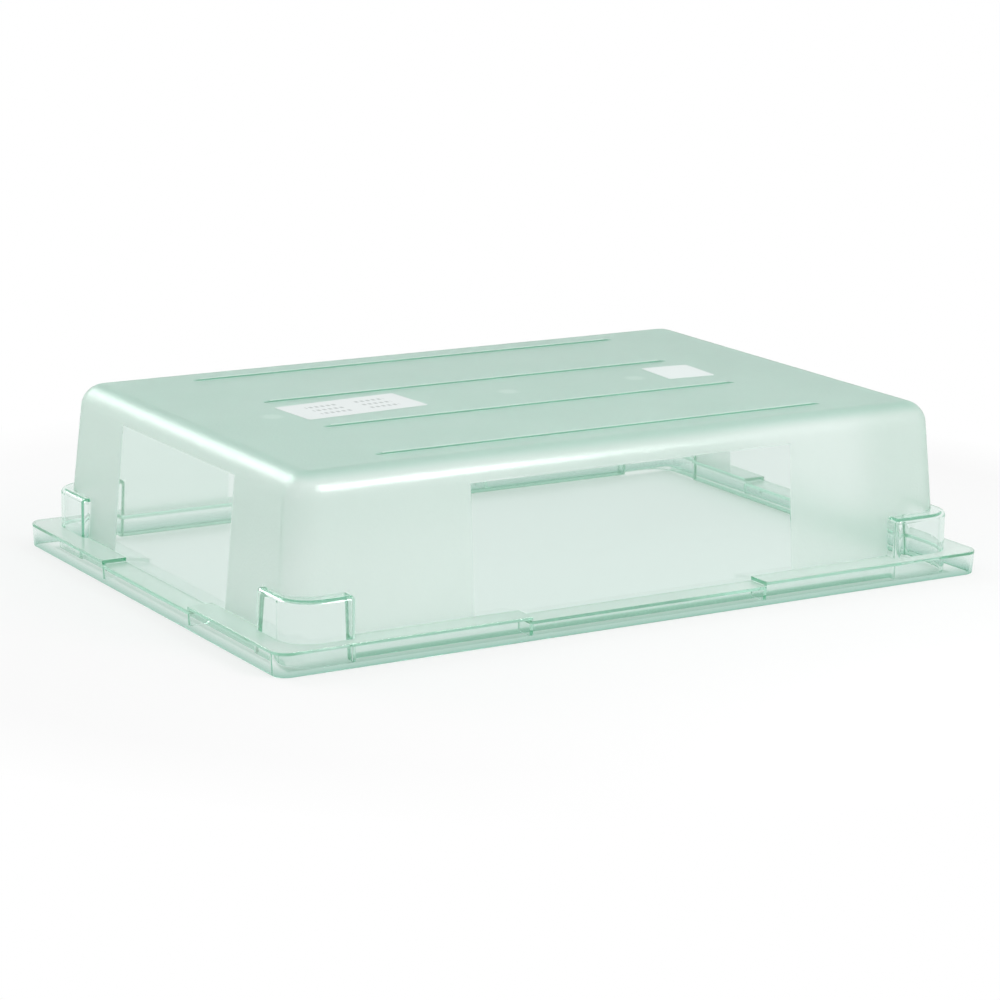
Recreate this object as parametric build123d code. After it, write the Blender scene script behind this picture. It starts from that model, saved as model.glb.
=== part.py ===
from build123d import *
from math import cos, radians, sin
import os

# A large food storage box of clear polycarbonate, standing upside down on its rim.
# Origin: the middle of the rim's footprint, on the surface that it stands on.
# +X runs along the long side, +Y along the short side, +Z up. Millimetres.

# Rim: a flat ledge with a skirt hanging from its outer edge
rim_length = 660.0
rim_width = 457.0
rim_corner_radius = 13.0
ledge_height = 20.0
ledge_thickness = 3.0
skirt_thickness = 3.0
skirt_lean = 1.3
skirt_foot_radius = 1.4
ledge_edge_radius = 0.8

# Tub: four tapered walls and the base that closes them; the walls run on past the ledge
wall = 3.0
wall_foot_height = 2.0
wall_foot_radius = 0.6
ledge_overhang = 21.5
draft_inset = 9.8
base_height = 143.0
foot_corner_radius = 24.0
base_corner_radius = 21.5
base_edge_radius = 19.5

# Dropped middle of the ledge on each side, with a gusset at each end
grip_length_long_side = 220.0
grip_length_short_side = 156.0
grip_drop = 3.5
gusset_thickness = 3.0
gusset_height = 12.5
gusset_corner_radius = 7.0

# Corner shoulders: the wall steps out above the ledge, so that nested boxes don't jam
shoulder_step_long_side = 10.5
shoulder_step_short_side = 4.0
shoulder_height = 32.5
shoulder_edge_radius = 4.0
shoulder_end_radius = 5.0
shoulder_corner_radius = 26.0
short_shoulder_on_long_side = 55.0
short_shoulder_on_short_side = 60.5
long_shoulder_on_long_side = 63.5
long_shoulder_on_short_side = 66.0

# Base: four low ribs and three gate marks
rib_height = 1.2
rib_width = 3.2
rib_end_taper = 9.0
rib_spacing = 104.0
outer_rib_length = 420.0
inner_rib_length = 396.0
gate_mark_diameter = 24.0
gate_mark_depth = 0.12
gate_mark_places = (-216.0, 5.0, 131.0)

# Labels stuck on the base
label_thickness = 0.2
large_label_length = 114.0
large_label_width = 54.0
large_label_centre = (-140.5, 6.0)
large_label_turn = 4.0
small_label_length = 45.0
small_label_width = 49.0
small_label_centre = (179.5, 5.5)
small_label_turn = -4.0
label_corner_radius = 2.0

# Worked out from the sizes above
ledge_underside = ledge_height - ledge_thickness
foot_length = rim_length - 2 * ledge_overhang
foot_width = rim_width - 2 * ledge_overhang
base_length = foot_length - 2 * draft_inset
base_width = foot_width - 2 * draft_inset
shoulder_length = foot_length + 2 * shoulder_step_short_side
shoulder_width = foot_width + 2 * shoulder_step_long_side
shoulder_top = ledge_height + shoulder_height
cutter_reach = 5.0


def rounded_plate(length, width, radius, z):
    """A rounded rectangle at height z."""
    return Pos(0, 0, z) * RectangleRounded(length, width, radius)


def tapered_block(foot, top):
    """The solid between two rounded rectangles, each (length, width, radius, z)."""
    return loft([rounded_plate(*foot), rounded_plate(*top)], ruled=True)


def edges_at(shape, z, reach=0.01):
    """The edges of a shape that lie in the plane at height z."""
    return shape.edges().filter_by_position(Axis.Z, z - reach, z + reach)


def tub_block(inset, bottom):
    """The tub as a full solid, drawn in by an inset, from height bottom to the base."""
    top = base_height - inset
    drawn_in = draft_inset / (base_height - ledge_height)
    foot_inset = inset + drawn_in * (bottom - ledge_height)
    top_inset = inset + drawn_in * (top - ledge_height)
    block = tapered_block(
        (foot_length - 2 * foot_inset, foot_width - 2 * foot_inset,
         foot_corner_radius - inset, bottom),
        (foot_length - 2 * top_inset, foot_width - 2 * top_inset,
         base_corner_radius - inset, top))
    return fillet(edges_at(block, top), base_edge_radius - inset)


def shoulder(side_x, side_y, inset, bottom, top):
    """One corner shoulder as a full solid with rounded ends and a rounded top edge."""
    if side_x == side_y:
        along_x, along_y = short_shoulder_on_long_side, short_shoulder_on_short_side
    else:
        along_x, along_y = long_shoulder_on_long_side, long_shoulder_on_short_side
    end_x = side_x * (shoulder_length / 2 - along_x + inset)
    end_y = side_y * (shoulder_width / 2 - along_y + inset)
    outline = RectangleRounded(
        shoulder_length - 2 * inset, shoulder_width - 2 * inset, shoulder_corner_radius - inset)
    corner = Rectangle(shoulder_length / 2, shoulder_width / 2)
    outline &= Pos(end_x + side_x * shoulder_length / 4,
                   end_y + side_y * shoulder_width / 4) * corner
    ends = [point for point in outline.vertices()
            if abs(point.X - end_x) < 0.01 or abs(point.Y - end_y) < 0.01]
    outline = fillet(ends, shoulder_end_radius - inset)
    block = extrude(Pos(0, 0, bottom) * outline, top - bottom)
    return fillet(edges_at(block, top), shoulder_edge_radius - inset)


def shoulders(inset, bottom, top):
    """The four corner shoulders, diagonal pairs alike."""
    return [shoulder(side_x, side_y, inset, bottom, top)
            for side_x in (-1, 1) for side_y in (-1, 1)]


def rim_block():
    """The rim as a full solid: its skirt leans in a little towards its foot."""
    block = tapered_block(
        (rim_length - 2 * skirt_lean, rim_width - 2 * skirt_lean,
         rim_corner_radius - skirt_lean, 0),
        (rim_length, rim_width, rim_corner_radius, ledge_height))
    block = fillet(edges_at(block, ledge_height), ledge_edge_radius)
    return fillet(edges_at(block, 0), skirt_foot_radius)


def grip_zones(bottom, top):
    """The four dropped stretches of the ledge, as one cross of two boxes."""
    middle = (bottom + top) / 2
    height = top - bottom
    long_side = Pos(0, 0, middle) * Box(
        grip_length_long_side, rim_width + 2 * cutter_reach, height)
    short_side = Pos(0, 0, middle) * Box(
        rim_length + 2 * cutter_reach, grip_length_short_side, height)
    return long_side + short_side


def rim_hollow():
    """The space inside the skirt, under the ledge; the lid's edge goes into it."""
    inner_length = rim_length - 2 * skirt_thickness
    inner_width = rim_width - 2 * skirt_thickness
    hollow = tapered_block(
        (inner_length - 2 * skirt_lean, inner_width - 2 * skirt_lean,
         rim_corner_radius - skirt_thickness - skirt_lean, -cutter_reach),
        (inner_length, inner_width,
         rim_corner_radius - skirt_thickness, ledge_underside))
    return hollow - grip_zones(ledge_underside - grip_drop, ledge_height + cutter_reach)


def gusset(run, at_end, turn):
    """One gusset under the ledge, from the skirt in to the tub's wall."""
    outer = run - skirt_thickness / 2
    inner = run - ledge_overhang - wall / 2
    middle_z = ledge_underside - grip_drop / 2
    foot_z = ledge_underside - gusset_height
    outline = make_face(Polyline(
        (inner, middle_z), (outer, middle_z), (outer, foot_z), (inner, foot_z), close=True))
    outline = fillet(outline.vertices().group_by(Axis.Y)[0].group_by(Axis.X)[0],
                     gusset_corner_radius)
    plate = extrude(Plane.XZ * outline, gusset_thickness / 2, both=True)
    return Rot(0, 0, turn) * (Pos(0, at_end, 0) * plate)


def gussets():
    """Two gussets at the ends of the dropped ledge on each of the four sides."""
    plates = []
    for turn, run, grip in (
            (0, rim_length / 2, grip_length_short_side),
            (90, rim_width / 2, grip_length_long_side),
            (180, rim_length / 2, grip_length_short_side),
            (270, rim_width / 2, grip_length_long_side)):
        for end in (-1, 1):
            plates.append(gusset(run, end * grip / 2, turn))
    return plates


def base_rib(length, y):
    """A low rib along X on the base, with ends that run out to nothing."""
    half = length / 2
    outline = make_face(Polyline(
        (-half, 0), (half, 0), (half - rib_end_taper, rib_height),
        (-half + rib_end_taper, rib_height), close=True))
    bar = extrude(Plane.XZ * outline, rib_width / 2, both=True)
    return Pos(0, y, base_height) * bar


def base_ribs():
    """Four ribs, the outer two a little longer."""
    inner_y = rib_spacing / 2
    outer_y = inner_y + rib_spacing
    return [
        base_rib(outer_rib_length, -outer_y),
        base_rib(inner_rib_length, -inner_y),
        base_rib(inner_rib_length, inner_y),
        base_rib(outer_rib_length, outer_y)]


def gate_mark(x):
    """The shallow dish that a moulding gate leaves in the base."""
    half = gate_mark_diameter / 2
    sphere_radius = (half ** 2 + gate_mark_depth ** 2) / (2 * gate_mark_depth)
    return Pos(x, 0, base_height + sphere_radius - gate_mark_depth) * Sphere(sphere_radius)


def make_tub():
    """The whole moulding: base, walls, shoulders, ledge, skirt and gussets in one piece."""
    tub = rim_block()
    tub -= grip_zones(ledge_height - grip_drop, ledge_height + cutter_reach)
    tub -= rim_hollow()
    for block in [tub_block(0, wall_foot_height), *shoulders(0, wall_foot_height, shoulder_top)]:
        tub += fillet(edges_at(block, wall_foot_height), wall_foot_radius)
    tub -= tub_block(wall, -cutter_reach)
    for block in shoulders(wall, -cutter_reach, shoulder_top - wall):
        tub -= block
    for plate in gussets():
        tub += plate
    for rib in base_ribs():
        tub += rib
    for x in gate_mark_places:
        tub -= gate_mark(x)
    return tub


def make_label(length, width, centre, turn):
    """A thin label lying on the base."""
    face = RectangleRounded(length, width, label_corner_radius)
    return Pos(centre[0], centre[1], base_height) * Rot(0, 0, turn) * extrude(face, label_thickness)


large_label = make_label(
    large_label_length, large_label_width, large_label_centre, large_label_turn)
small_label = make_label(
    small_label_length, small_label_width, small_label_centre, small_label_turn)

os.makedirs("parts", exist_ok=True)
export_step(make_tub(), "parts/tub.step")
export_step(large_label, "parts/large_label.step")
export_step(small_label, "parts/small_label.step")
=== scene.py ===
from math import cos, radians, sin
from mathutils import Matrix, Vector
import bpy

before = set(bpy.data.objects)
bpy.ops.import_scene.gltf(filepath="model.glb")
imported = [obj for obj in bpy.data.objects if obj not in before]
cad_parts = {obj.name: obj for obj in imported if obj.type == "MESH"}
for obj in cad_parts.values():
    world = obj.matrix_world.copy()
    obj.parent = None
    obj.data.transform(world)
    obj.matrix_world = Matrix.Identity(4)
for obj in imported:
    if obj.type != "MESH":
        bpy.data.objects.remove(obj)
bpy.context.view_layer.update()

view_azimuth = radians(-31.62)
view_elevation = radians(13.58)
view_lean = radians(1.03)
view_target = Vector((-0.0213, -0.0327, 0.060))
view_distance = 2.6938
lens_over_sensor = 3.2623
sensor_width = 36.0

back = Vector((
    sin(view_azimuth) * cos(view_elevation),
    -cos(view_azimuth) * cos(view_elevation),
    sin(view_elevation)))
level_right = (-back).cross(Vector((0, 0, 1))).normalized()
level_up = level_right.cross(-back)
lean_right = cos(view_lean) * level_right + sin(view_lean) * level_up
lean_up = cos(view_lean) * level_up - sin(view_lean) * level_right
camera = bpy.data.objects.new("camera", bpy.data.cameras.new("camera"))
bpy.context.collection.objects.link(camera)
camera_turn = Matrix((lean_right, lean_up, back)).transposed().to_4x4()
camera.matrix_world = Matrix.Translation(view_target + view_distance * back) @ camera_turn
camera.data.sensor_width = sensor_width
camera.data.lens = lens_over_sensor * sensor_width
bpy.context.scene.camera = camera
bpy.context.scene.view_settings.view_transform = "Standard"

# Tub
# One injection moulding of pale green polycarbonate, about 3 mm thick all over.
# The mould is polished where the box has its ledge, its shoulders and a window in the middle of
# each wall. The base and the corners have a fine grain that hides scratches.
long_window_half = 0.150
long_window_top = 0.1235
short_window_half = 0.100
short_window_top = 0.1250
ledge_top = 0.0204
shoulder_top = 0.0528
short_shoulder_start = (0.2570, 0.1565)
long_shoulder_start = (0.2485, 0.1510)
window_border = 0.0012
hard_border = 0.0010

straight_half_length = 0.2857
straight_half_width = 0.1842
wall_taper = 0.0797
corner_taper = 0.0203
foot_corner_radius = 0.0244
base_edge_radius = 0.0195
base_edge_centre = 0.1235
half_wall = 0.0015

polish_roughness = 0.03
frost_roughness = 0.33
grain_scale = 430.0
grain_detail = 2.0
grain_roughness = 0.6
grain_strength = 0.45
grain_depth = 0.0004
handling_scale = 14.0
handling_detail = 4.0
handling_spread = 0.10
faces_up_from = 0.7
ledge_grain_and_sheen_share = 0.45
ledge_sheen_haze = 0.50
ledge_grain_and_sheen_low = 0.0150

clear_tint = (0.97, 0.965, 0.97, 1.0)
wall_frost_tint = (0.90, 0.95, 0.92, 1.0)
base_frost_and_shade_tint = (0.53, 0.735, 0.655, 1.0)
rib_flank_shade_tint = (0.34, 0.62, 0.50, 1.0)
rib_top_highlight_tint = (0.78, 0.93, 0.87, 1.0)
base_starts = 0.1385
base_border = 0.0090
ribs_start = 0.14315
rib_border = 0.0002
rib_tops_start = 0.14395
rib_top_border = 0.0001
gate_marks = (-0.216, 0.005, 0.131)
gate_mark_tint = (0.66, 0.84, 0.77, 1.0)
gate_mark_radius = 0.0080
gate_mark_border = 0.0080
foot_shade_tint = (0.46, 0.71, 0.60, 1.0)
foot_top = 0.0058
foot_border = 0.0022
foot_reach = 0.0030
skirt_shade_tint = (0.42, 0.65, 0.57, 1.0)
skirt_starts = 0.0155
skirt_fade_from = 0.0010
skirt_fade_by = 0.0110

wall_transmission = 0.82
base_transmission = 0.60
plastic_ior = 1.585
absorbed_colour = (0.30, 0.78, 0.58, 1.0)
absorbed_density = 38.0
light_through_walls = (0.90, 0.95, 0.93, 1.0)
light_through_rim = (0.58, 0.76, 0.68, 1.0)
deep_glow_colour = (0.34, 0.60, 0.48, 1.0)
spent_ray_depth = 9.5
spent_glossy_depth = 3.5

plastic = bpy.data.materials.new("pale_green_polycarbonate")
plastic.use_nodes = True
plastic_tree = plastic.node_tree
plastic_nodes = plastic_tree.nodes
plastic_links = plastic_tree.links


def add_math(tree, operation, first, second=None, third=None):
    """A math node in a tree; each value is a socket or a number."""
    node = tree.nodes.new("ShaderNodeMath")
    node.operation = operation
    for socket, value in zip(node.inputs, (first, second, third)):
        if value is None:
            continue
        if isinstance(value, (int, float)):
            socket.default_value = value
        else:
            tree.links.new(value, socket)
    return node.outputs[0]


def add_step(tree, value, edge, border, rising=True):
    """A soft step from 0 to 1 over a border's width; it falls where rising is False."""
    node = tree.nodes.new("ShaderNodeMapRange")
    node.interpolation_type = "SMOOTHSTEP"
    node.inputs["From Min"].default_value = edge - border / 2
    node.inputs["From Max"].default_value = edge + border / 2
    node.inputs["To Min"].default_value = 0.0 if rising else 1.0
    node.inputs["To Max"].default_value = 1.0 if rising else 0.0
    tree.links.new(value, node.inputs["Value"])
    return node.outputs["Result"]


place = plastic_nodes.new("ShaderNodeTexCoord").outputs["Object"]
split_place = plastic_nodes.new("ShaderNodeSeparateXYZ")
plastic_links.new(place, split_place.inputs[0])
place_x, place_y, place_z = split_place.outputs
out_x = add_math(plastic_tree, "ABSOLUTE", place_x)
out_y = add_math(plastic_tree, "ABSOLUTE", place_y)

in_long_window = add_math(
    plastic_tree, "MULTIPLY",
    add_step(plastic_tree, out_x, long_window_half, window_border, rising=False),
    add_step(plastic_tree, place_z, long_window_top, window_border, rising=False))
in_short_window = add_math(
    plastic_tree, "MULTIPLY",
    add_step(plastic_tree, out_y, short_window_half, window_border, rising=False),
    add_step(plastic_tree, place_z, short_window_top, window_border, rising=False))
on_ledge = add_step(plastic_tree, place_z, ledge_top, window_border, rising=False)

# Diagonal pairs of shoulders are alike: one pair lies where x and y have the same sign.
side_product = add_math(plastic_tree, "MULTIPLY", place_x, place_y)
same_sides = add_math(plastic_tree, "GREATER_THAN", side_product, 0.0)
other_sides = add_math(plastic_tree, "SUBTRACT", 1.0, same_sides)
below_shoulder_top = add_step(plastic_tree, place_z, shoulder_top, window_border, rising=False)
on_shoulder = 0.0
for side_mask, (start_x, start_y) in (
        (same_sides, short_shoulder_start), (other_sides, long_shoulder_start)):
    past_start = add_math(
        plastic_tree, "MULTIPLY",
        add_math(plastic_tree, "GREATER_THAN", out_x, start_x),
        add_math(plastic_tree, "GREATER_THAN", out_y, start_y))
    on_this_pair = add_math(plastic_tree, "MULTIPLY", side_mask, past_start)
    on_shoulder = add_math(plastic_tree, "MAXIMUM", on_shoulder, on_this_pair)
on_shoulder = add_math(plastic_tree, "MULTIPLY", on_shoulder, below_shoulder_top)

polished = in_long_window
for polished_zone in (in_short_window, on_ledge, on_shoulder):
    polished = add_math(plastic_tree, "MAXIMUM", polished, polished_zone)


def add_length(tree, across, along):
    """The length of the straight line that has these two sides."""
    return add_math(
        tree, "SQRT",
        add_math(
            tree, "ADD",
            add_math(tree, "POWER", across, 2.0), add_math(tree, "POWER", along, 2.0)))


# Only the outside has the grain: this is the distance out from the middle of the tub's edge
# rounding, and it passes half a wall inside the outer face.
past_straight_x, past_straight_y = [
    add_math(
        plastic_tree, "MULTIPLY_ADD", place_z, wall_taper - corner_taper,
        add_math(plastic_tree, "SUBTRACT", out, straight_half))
    for out, straight_half in ((out_x, straight_half_length), (out_y, straight_half_width))]
corner_reach = add_length(
    plastic_tree,
    add_math(plastic_tree, "MAXIMUM", past_straight_x, 0.0),
    add_math(plastic_tree, "MAXIMUM", past_straight_y, 0.0))
outline_reach = add_math(
    plastic_tree, "ADD", corner_reach,
    add_math(plastic_tree, "MINIMUM",
             add_math(plastic_tree, "MAXIMUM", past_straight_x, past_straight_y), 0.0))
edge_reach = add_math(
    plastic_tree, "MULTIPLY_ADD", place_z, corner_taper,
    add_math(plastic_tree, "ADD", outline_reach, base_edge_radius - foot_corner_radius))
edge_rise = add_math(plastic_tree, "SUBTRACT", place_z, base_edge_centre)
rounding_reach = add_length(
    plastic_tree,
    add_math(plastic_tree, "MAXIMUM", edge_reach, 0.0),
    add_math(plastic_tree, "MAXIMUM", edge_rise, 0.0))
outside = add_math(plastic_tree, "GREATER_THAN", rounding_reach, base_edge_radius - half_wall)
frosted = add_math(
    plastic_tree, "MULTIPLY", outside, add_math(plastic_tree, "SUBTRACT", 1.0, polished))

# The top of the ledge is given a little grain and a milky paleness; the paleness is painted
# light, standing in for the brightness the clear ledge shows.
facing = plastic_nodes.new("ShaderNodeSeparateXYZ")
plastic_links.new(
    plastic_nodes.new("ShaderNodeNewGeometry").outputs["True Normal"], facing.inputs[0])
faces_up = add_math(plastic_tree, "GREATER_THAN", facing.outputs["Z"], faces_up_from)
on_ledge_top = add_math(
    plastic_tree, "MULTIPLY", faces_up,
    add_math(plastic_tree, "MULTIPLY", on_ledge,
             add_math(plastic_tree, "GREATER_THAN", place_z, ledge_grain_and_sheen_low)))
frosted = add_math(
    plastic_tree, "MAXIMUM", frosted,
    add_math(plastic_tree, "MULTIPLY", on_ledge_top, ledge_grain_and_sheen_share))

grain = plastic_nodes.new("ShaderNodeTexNoise")
grain.inputs["Scale"].default_value = grain_scale
grain.inputs["Detail"].default_value = grain_detail
grain.inputs["Roughness"].default_value = grain_roughness
plastic_links.new(place, grain.inputs["Vector"])
grain_height = add_math(plastic_tree, "MULTIPLY", grain.outputs["Fac"], frosted)
grain_bump = plastic_nodes.new("ShaderNodeBump")
grain_bump.inputs["Strength"].default_value = grain_strength
grain_bump.inputs["Distance"].default_value = grain_depth
plastic_links.new(grain_height, grain_bump.inputs["Height"])

# Handling has left the grain a little smoother in some places than in others.
handling = plastic_nodes.new("ShaderNodeTexNoise")
handling.inputs["Scale"].default_value = handling_scale
handling.inputs["Detail"].default_value = handling_detail
plastic_links.new(place, handling.inputs["Vector"])
frost_variation = add_math(
    plastic_tree, "MULTIPLY_ADD", handling.outputs["Fac"],
    handling_spread, frost_roughness - handling_spread / 2)
roughness_added = add_math(plastic_tree, "SUBTRACT", frost_variation, polish_roughness)
surface_roughness = add_math(
    plastic_tree, "MULTIPLY_ADD", frosted, roughness_added, polish_roughness)


def add_tint(tree, share, first, second):
    """A colour that goes from first to second; each is a socket or a colour."""
    node = tree.nodes.new("ShaderNodeMix")
    node.data_type = "RGBA"
    tree.links.new(share, node.inputs["Factor"])
    for socket, value in ((node.inputs[6], first), (node.inputs[7], second)):
        if isinstance(value, tuple):
            socket.default_value = value
        else:
            tree.links.new(value, socket)
    return node.outputs[2]


on_base = add_step(plastic_tree, place_z, base_starts, base_border)
on_rib = add_step(plastic_tree, place_z, ribs_start, rib_border)
on_rib_top = add_step(plastic_tree, place_z, rib_tops_start, rib_top_border)
# Painted shade: the base gets a darker, greener frosted colour than the walls, for the shade on
# its upper face, which little light reaches from beneath.
frost_tint_and_painted_light = add_tint(plastic_tree, on_base, wall_frost_tint, base_frost_and_shade_tint)
# Painted shade and highlight: the ribs' flanks are tinted a darker green and their tops a paler
# green, for how the light falls on them.
frost_tint_and_painted_light = add_tint(plastic_tree, on_rib, frost_tint_and_painted_light, rib_flank_shade_tint)
frost_tint_and_painted_light = add_tint(plastic_tree, on_rib_top, frost_tint_and_painted_light, rib_top_highlight_tint)
for mark_x in gate_marks:
    mark_reach = add_length(
        plastic_tree, add_math(plastic_tree, "SUBTRACT", place_x, mark_x), out_y)
    near_mark = add_step(
        plastic_tree, mark_reach, gate_mark_radius, gate_mark_border, rising=False)
    on_mark = add_math(plastic_tree, "MULTIPLY", near_mark, on_base)
    frost_tint_and_painted_light = add_tint(plastic_tree, on_mark, frost_tint_and_painted_light, gate_mark_tint)

# Painted shade: the foot of the wall is seen edge on, through the length of the plastic, and is
# tinted a darker green for how dark it looks there.
on_foot = add_math(
    plastic_tree, "MULTIPLY",
    add_step(plastic_tree, place_z, foot_top, foot_border, rising=False),
    add_step(
        plastic_tree, edge_reach, base_edge_radius + foot_reach, hard_border, rising=False))
smooth_tint_and_shade = add_tint(plastic_tree, on_foot, clear_tint, foot_shade_tint)

# Painted shade: the skirt is also tinted darker and greener towards its foot, for the shadow on
# the floor under the rim that is seen through it.
past_skirt = add_step(plastic_tree, edge_reach, base_edge_radius + skirt_starts, hard_border)
skirt_rise = plastic_nodes.new("ShaderNodeMapRange")
skirt_rise.inputs["From Min"].default_value = skirt_fade_from
skirt_rise.inputs["From Max"].default_value = skirt_fade_by
skirt_rise.inputs["To Min"].default_value = 1.0
skirt_rise.inputs["To Max"].default_value = 0.0
plastic_links.new(place_z, skirt_rise.inputs["Value"])
on_skirt = add_math(plastic_tree, "MULTIPLY", past_skirt, skirt_rise.outputs["Result"])
smooth_tint_and_shade = add_tint(plastic_tree, on_skirt, smooth_tint_and_shade, skirt_shade_tint)
surface_tint = add_tint(plastic_tree, frosted, smooth_tint_and_shade, frost_tint_and_painted_light)

transmission_drop = add_math(
    plastic_tree, "MULTIPLY_ADD", on_base,
    wall_transmission - base_transmission, 1.0 - wall_transmission)
transmission_lost = add_math(
    plastic_tree, "MULTIPLY_ADD", on_ledge_top, ledge_sheen_haze,
    add_math(plastic_tree, "MULTIPLY", frosted, transmission_drop))
surface_transmission = add_math(plastic_tree, "SUBTRACT", 1.0, transmission_lost)

plastic_shader = plastic_nodes["Principled BSDF"]
plastic_shader.inputs["IOR"].default_value = plastic_ior
plastic_links.new(surface_tint, plastic_shader.inputs["Base Color"])
plastic_links.new(surface_roughness, plastic_shader.inputs["Roughness"])
plastic_links.new(surface_transmission, plastic_shader.inputs["Transmission Weight"])
plastic_links.new(grain_bump.outputs["Normal"], plastic_shader.inputs["Normal"])

absorbing = plastic_nodes.new("ShaderNodeVolumeAbsorption")
absorbing.inputs["Color"].default_value = absorbed_colour
absorbing.inputs["Density"].default_value = absorbed_density


def add_mix(tree, share, first, second):
    """A shader that goes from first to second."""
    node = tree.nodes.new("ShaderNodeMixShader")
    for socket, value in zip(node.inputs, (share, first, second)):
        tree.links.new(value, socket)
    return node.outputs[0]


# The box throws a pale shadow: its walls let most of the light by, and its rim less of it.
lets_light_by = plastic_nodes.new("ShaderNodeBsdfTransparent")
plastic_links.new(
    add_tint(plastic_tree, on_ledge, light_through_walls, light_through_rim),
    lets_light_by.inputs["Color"])
ray_kind = plastic_nodes.new("ShaderNodeLightPath")
lighting_ray = add_math(
    plastic_tree, "MAXIMUM",
    ray_kind.outputs["Is Shadow Ray"], ray_kind.outputs["Is Diffuse Ray"])
plastic_look = add_mix(
    plastic_tree, lighting_ray, plastic_shader.outputs[0], lets_light_by.outputs[0])

# Painted glow: a ray that has gone to and fro in the plastic many times stops there and glows a
# deep green, standing in for the light it would have brought.
deep_glow = plastic_nodes.new("ShaderNodeEmission")
deep_glow.inputs["Color"].default_value = deep_glow_colour
spent_ray = add_math(
    plastic_tree, "MAXIMUM",
    add_math(plastic_tree, "GREATER_THAN", ray_kind.outputs["Ray Depth"], spent_ray_depth),
    add_math(
        plastic_tree, "GREATER_THAN", ray_kind.outputs["Glossy Depth"], spent_glossy_depth))
plastic_look = add_mix(plastic_tree, spent_ray, plastic_look, deep_glow.outputs[0])
plastic_output = plastic_nodes["Material Output"]
plastic_links.new(plastic_look, plastic_output.inputs["Surface"])
plastic_links.new(absorbing.outputs[0], plastic_output.inputs["Volume"])

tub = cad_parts["tub"]
tub.data.materials.clear()
tub.data.materials.append(plastic)

# Large label
# A white film label stuck on the base, a little askew, with two blocks of faint grey marks.
# The marks are plain bars, three rows to a block, and say nothing.
large_label_centre = (-0.1405, 0.0060)
large_label_turn = radians(4.0)
film_tint = (0.82, 0.88, 0.87, 1.0)
film_roughness = 0.42
film_light_share = 0.80
fibre_scale = 320.0
fibre_detail = 3.0
crease_strength = 0.12
crease_depth = 0.0002
mark_tint = (0.32, 0.38, 0.37, 1.0)
mark_share = 0.60
block_middles = (-0.0215, 0.0235)
block_half_length = 0.0150
row_middles = (-0.0120, 0.0000, 0.0120)
row_half_height = 0.0024
row_border = 0.0008
bar_radians_per_metre = 1150.0
bar_wave_edge = -0.25
bar_wave_border = 0.5


def make_film(name, tint):
    """A thin matt film that lets part of the light by; the caller may colour it further."""
    film = bpy.data.materials.new(name)
    film.use_nodes = True
    tree = film.node_tree
    shader = tree.nodes["Principled BSDF"]
    shader.inputs["Base Color"].default_value = tint
    shader.inputs["Roughness"].default_value = film_roughness
    coordinates = tree.nodes.new("ShaderNodeTexCoord")
    fibre = tree.nodes.new("ShaderNodeTexNoise")
    fibre.inputs["Scale"].default_value = fibre_scale
    fibre.inputs["Detail"].default_value = fibre_detail
    tree.links.new(coordinates.outputs["Object"], fibre.inputs["Vector"])
    crease = tree.nodes.new("ShaderNodeBump")
    crease.inputs["Strength"].default_value = crease_strength
    crease.inputs["Distance"].default_value = crease_depth
    tree.links.new(fibre.outputs["Fac"], crease.inputs["Height"])
    tree.links.new(crease.outputs["Normal"], shader.inputs["Normal"])
    light_by = tree.nodes.new("ShaderNodeBsdfTransparent")
    film_ray = tree.nodes.new("ShaderNodeLightPath")
    shadow_share = add_math(
        tree, "MULTIPLY", film_ray.outputs["Is Shadow Ray"], film_light_share)
    tree.links.new(
        add_mix(tree, shadow_share, shader.outputs[0], light_by.outputs[0]),
        tree.nodes["Material Output"].inputs["Surface"])
    return film


large_film = make_film("printed_film", film_tint)
large_tree = large_film.node_tree
large_place = large_tree.nodes.new("ShaderNodeTexCoord").outputs["Object"]
straighten = large_tree.nodes.new("ShaderNodeMapping")
straighten.vector_type = "TEXTURE"
straighten.inputs["Location"].default_value = (*large_label_centre, 0.0)
straighten.inputs["Rotation"].default_value = (0.0, 0.0, large_label_turn)
large_tree.links.new(large_place, straighten.inputs["Vector"])
split_label = large_tree.nodes.new("ShaderNodeSeparateXYZ")
large_tree.links.new(straighten.outputs[0], split_label.inputs[0])
along_label, across_label = split_label.outputs[0], split_label.outputs[1]


def add_bands(tree, value, middles, half, border):
    """1 within half a band's width of any of the middles, and 0 elsewhere."""
    bands = 0.0
    for middle in middles:
        from_middle = add_math(tree, "ABSOLUTE", add_math(tree, "SUBTRACT", value, middle))
        bands = add_math(
            tree, "MAXIMUM", bands, add_step(tree, from_middle, half, border, rising=False))
    return bands


in_block = add_bands(large_tree, along_label, block_middles, block_half_length, hard_border)
in_row = add_bands(large_tree, across_label, row_middles, row_half_height, row_border)
bar_wave = add_math(
    large_tree, "SINE", add_math(large_tree, "MULTIPLY", along_label, bar_radians_per_metre))
in_bar = add_step(large_tree, bar_wave, bar_wave_edge, bar_wave_border)
on_printing = add_math(large_tree, "MULTIPLY", in_block, in_row)
on_printing = add_math(large_tree, "MULTIPLY", on_printing, in_bar)
printing_strength = add_math(large_tree, "MULTIPLY", on_printing, mark_share)
large_tree.links.new(
    add_tint(large_tree, printing_strength, film_tint, mark_tint),
    large_tree.nodes["Principled BSDF"].inputs["Base Color"])
large_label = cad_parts["large_label"]
large_label.data.materials.clear()
large_label.data.materials.append(large_film)

# Small label
# A second film label, nearly square, near the other end of the base.
# It is of the same matt film, stuck on in the same way, and left bare.
bare_film_tint = (0.82, 0.90, 0.88, 1.0)
small_film = make_film("bare_film", bare_film_tint)
small_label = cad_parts["small_label"]
small_label.data.materials.clear()
small_label.data.materials.append(small_film)

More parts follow.
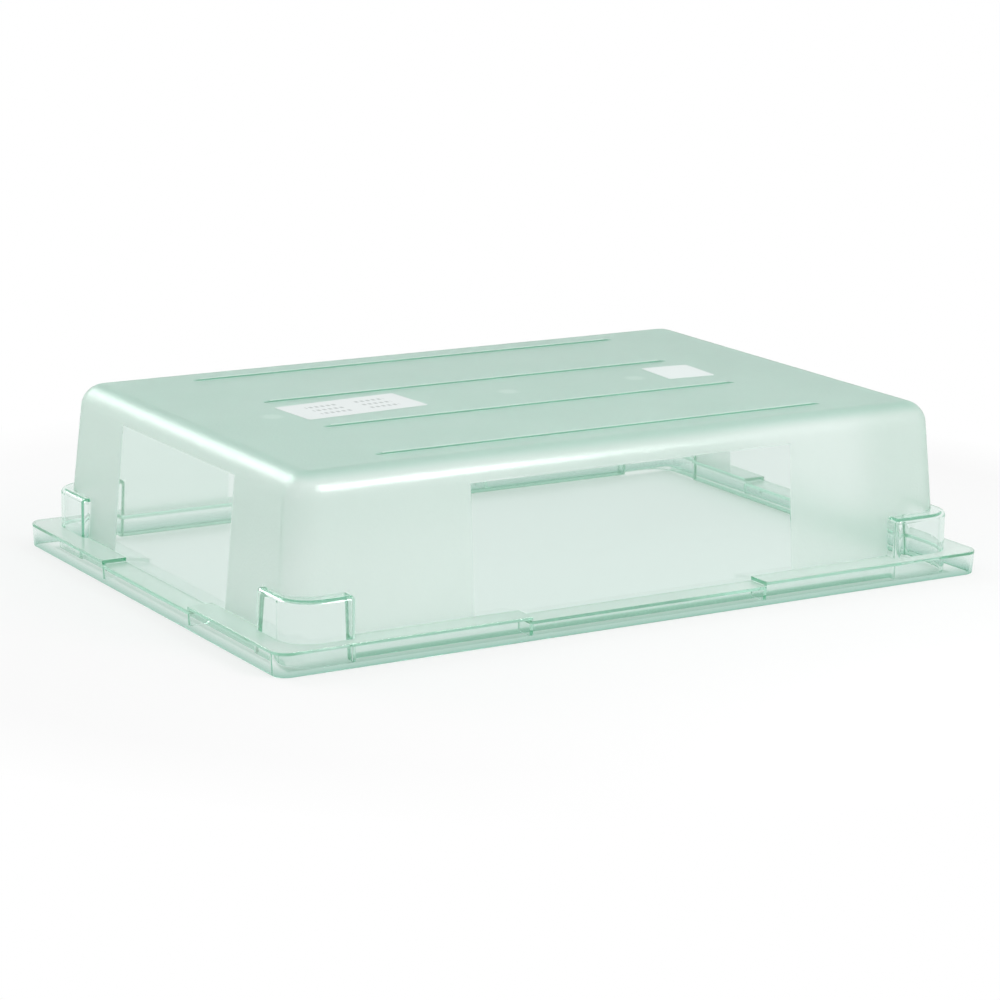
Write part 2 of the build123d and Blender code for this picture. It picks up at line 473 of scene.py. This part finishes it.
# Floor
# A wide white sheet under the box. It looks white by itself at a distance, a little less so
# under the rim, and least of all inside the walls, where it keeps the box's soft shadow.
floor_size = 60.0
floor_drop = 0.0002
sheet_tint = (0.95, 0.95, 0.95, 1.0)
sheet_roughness = 0.9
pure_white = (1.0, 1.0, 1.0, 1.0)
floor_glow_share = 0.36
rim_glow_share = 0.74
wall_half_length = 0.3110
wall_half_width = 0.2095
wall_border = 0.0060
bright_from = 0.40
bright_by = 0.68
bpy.ops.mesh.primitive_plane_add(size=floor_size, location=(0.0, 0.0, -floor_drop))
floor = bpy.context.object
floor.name = "floor"
sheet = bpy.data.materials.new("white_sheet")
sheet.use_nodes = True
sheet_tree = sheet.node_tree
sheet_nodes = sheet_tree.nodes
sheet_links = sheet_tree.links
sheet_shader = sheet_nodes["Principled BSDF"]
sheet_shader.inputs["Base Color"].default_value = sheet_tint
sheet_shader.inputs["Roughness"].default_value = sheet_roughness
sheet_shader.inputs["Specular IOR Level"].default_value = 0.0
sheet_glow = sheet_nodes.new("ShaderNodeEmission")
sheet_glow.inputs["Color"].default_value = pure_white
sheet_glow.inputs["Strength"].default_value = 1.0


def add_looking(tree):
    """1 for a ray that looks: straight from the camera, off a gloss or through the plastic."""
    ray = tree.nodes.new("ShaderNodeLightPath")
    looking = add_math(
        tree, "MAXIMUM", ray.outputs["Is Camera Ray"], ray.outputs["Is Glossy Ray"])
    return add_math(tree, "MAXIMUM", looking, ray.outputs["Is Transmission Ray"])


sheet_place = sheet_nodes.new("ShaderNodeTexCoord").outputs["Object"]
sheet_distance = sheet_nodes.new("ShaderNodeVectorMath")
sheet_distance.operation = "LENGTH"
sheet_links.new(sheet_place, sheet_distance.inputs[0])
glow_rise = sheet_nodes.new("ShaderNodeMapRange")
glow_rise.inputs["From Min"].default_value = bright_from
glow_rise.inputs["From Max"].default_value = bright_by
glow_rise.inputs["To Min"].default_value = floor_glow_share
glow_rise.inputs["To Max"].default_value = 1.0
sheet_links.new(sheet_distance.outputs["Value"], glow_rise.inputs["Value"])
sheet_split = sheet_nodes.new("ShaderNodeSeparateXYZ")
sheet_links.new(sheet_place, sheet_split.inputs[0])
past_long_wall, past_short_wall = [
    add_step(
        sheet_tree, add_math(sheet_tree, "ABSOLUTE", sheet_split.outputs[axis]),
        wall_half, wall_border)
    for axis, wall_half in ((1, wall_half_width), (0, wall_half_length))]
past_wall = add_math(sheet_tree, "MAXIMUM", past_short_wall, past_long_wall)
floor_glow = add_math(
    sheet_tree, "MAXIMUM", glow_rise.outputs["Result"],
    add_math(sheet_tree, "MULTIPLY", past_wall, rim_glow_share))
glow_share = add_math(sheet_tree, "MULTIPLY", add_looking(sheet_tree), floor_glow)
sheet_links.new(
    add_mix(sheet_tree, glow_share, sheet_shader.outputs[0], sheet_glow.outputs[0]),
    sheet_nodes["Material Output"].inputs["Surface"])
floor.data.materials.append(sheet)

# Light
# A white studio: an even pale sky, seen as plain white, and three soft square lamps. One is in
# front on the right, one behind on the left, and a large one high up.
sky_strength = 0.54
studio = bpy.data.worlds.new("studio")
bpy.context.scene.world = studio
studio.use_nodes = True
studio_tree = studio.node_tree
studio_nodes = studio_tree.nodes
sky_light = studio_nodes["Background"]
sky_light.inputs["Color"].default_value = pure_white
sky_light.inputs["Strength"].default_value = sky_strength
white_backdrop = studio_nodes.new("ShaderNodeBackground")
white_backdrop.inputs["Color"].default_value = pure_white
white_backdrop.inputs["Strength"].default_value = 1.0
studio_tree.links.new(
    add_mix(
        studio_tree, add_looking(studio_tree), sky_light.outputs[0], white_backdrop.outputs[0]),
    studio_nodes["World Output"].inputs["Surface"])


def hang_lamp(name, place, aim, size, power):
    """A square soft lamp at a place, turned towards the aim."""
    lamp = bpy.data.objects.new(name, bpy.data.lights.new(name, "AREA"))
    lamp.data.shape = "SQUARE"
    lamp.data.size = size
    lamp.data.energy = power
    bpy.context.collection.objects.link(lamp)
    lamp.location = place
    lamp.rotation_euler = (Vector(aim) - Vector(place)).to_track_quat("-Z", "Y").to_euler()


hang_lamp("edge_lamp", place=(0.40, -1.10, 0.88), aim=(-0.20, -0.20, 0.13), size=0.45, power=8.5)
hang_lamp("back_lamp", place=(-0.68, 1.35, 1.05), aim=(-0.30, 0.0, 0.13), size=0.75, power=8.0)
hang_lamp("high_lamp", place=(-0.6, -1.0, 3.0), aim=(0.0, 0.0, 0.1), size=1.6, power=4.5)
